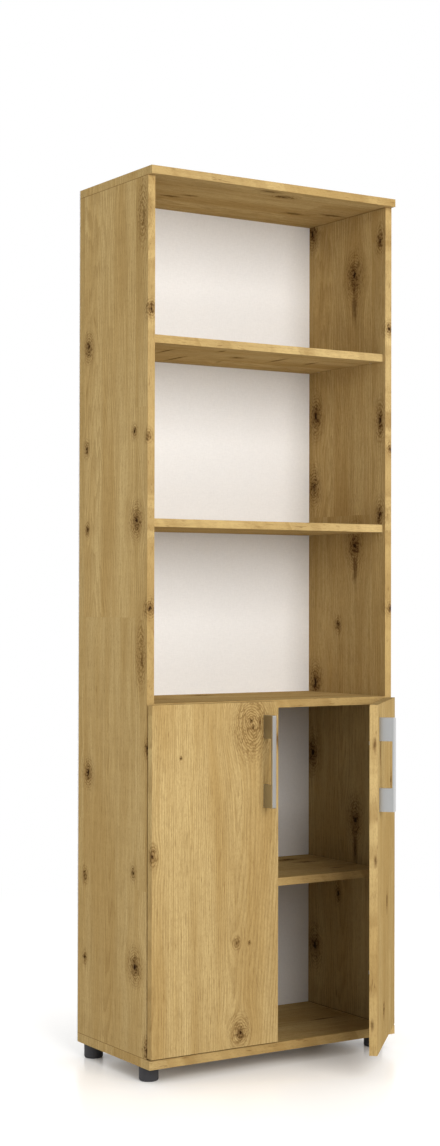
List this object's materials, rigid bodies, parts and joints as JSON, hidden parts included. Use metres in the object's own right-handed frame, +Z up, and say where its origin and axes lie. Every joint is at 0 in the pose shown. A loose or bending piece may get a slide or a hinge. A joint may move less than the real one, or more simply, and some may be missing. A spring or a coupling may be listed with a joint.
{
  "type": "bookcase with cabinet doors",
  "caption": "Tall narrow bookcase in knotty oak decor: open bays above, a cabinet with hinged doors and bow handles below, on round feet.",
  "frame": {"origin": "On the floor, under the middle of the space the bookcase takes up at rest, with its right door standing ajar.", "axes": "+Z is up. The front, with the doors, looks towards -Y. The left side, seen from the front, is towards -X."},
  "size_m": [0.6009, 0.5096, 1.795],
  "materials": {
    "oak_decor": "knotty oak printed foil, satin",
    "white_back": "white lacquered hardboard with a fine weave",
    "beech": "plain, uncoated",
    "satin_metal": "satin",
    "zinc_steel": "zinc plated",
    "black_plastic": "fine grain"
  },
  "bodies": {
    "carcass": {"left_side": "oak_decor", "right_side": "oak_decor", "top_panel": "oak_decor", "bottom_panel": "oak_decor", "middle_shelf": "oak_decor", "upper_shelf": "oak_decor", "lower_shelf": "oak_decor", "cabinet_shelf": "oak_decor", "back_panel": "white_back", "top_dowels": "beech", "middle_dowels": "beech", "bottom_dowels": "beech", "back_nails": "zinc_steel", "foot_screws": "zinc_steel", "upper_shelf_pins": "zinc_steel", "lower_shelf_pins": "zinc_steel", "cabinet_shelf_pins": "zinc_steel", "left_hinge_arms": "zinc_steel", "left_hinge_plates": "zinc_steel", "left_plate_screws": "zinc_steel", "left_arm_screws": "zinc_steel", "right_hinge_arms": "zinc_steel", "right_hinge_plates": "zinc_steel", "right_plate_screws": "zinc_steel", "right_arm_screws": "zinc_steel", "front_feet": "black_plastic", "rear_feet": "black_plastic"},
    "left_door_leaf": {"left_door": "oak_decor", "left_handle": "satin_metal", "left_handle_screws": "zinc_steel", "left_hinge_cups": "zinc_steel", "left_hinge_pins": "zinc_steel", "left_cup_screws": "zinc_steel"},
    "right_door_leaf": {"right_door": "oak_decor", "right_handle": "satin_metal", "right_handle_screws": "zinc_steel", "right_hinge_cups": "zinc_steel", "right_hinge_pins": "zinc_steel", "right_cup_screws": "zinc_steel"}
  },
  "joints": [
    {"name": "left_door_hinge", "type": "hinge", "parent": "carcass", "child": "left_door_leaf", "pos_m": [-0.2917, -0.0402, 0.395], "axis": [0, 0, -1], "range_deg": [0, 95]},
    {"name": "right_door_hinge", "type": "hinge", "parent": "carcass", "child": "right_door_leaf", "pos_m": [0.2917, -0.0402, 0.395], "axis": [0, 0, 1], "range_deg": [-45.7, 49.3]}
  ]
}
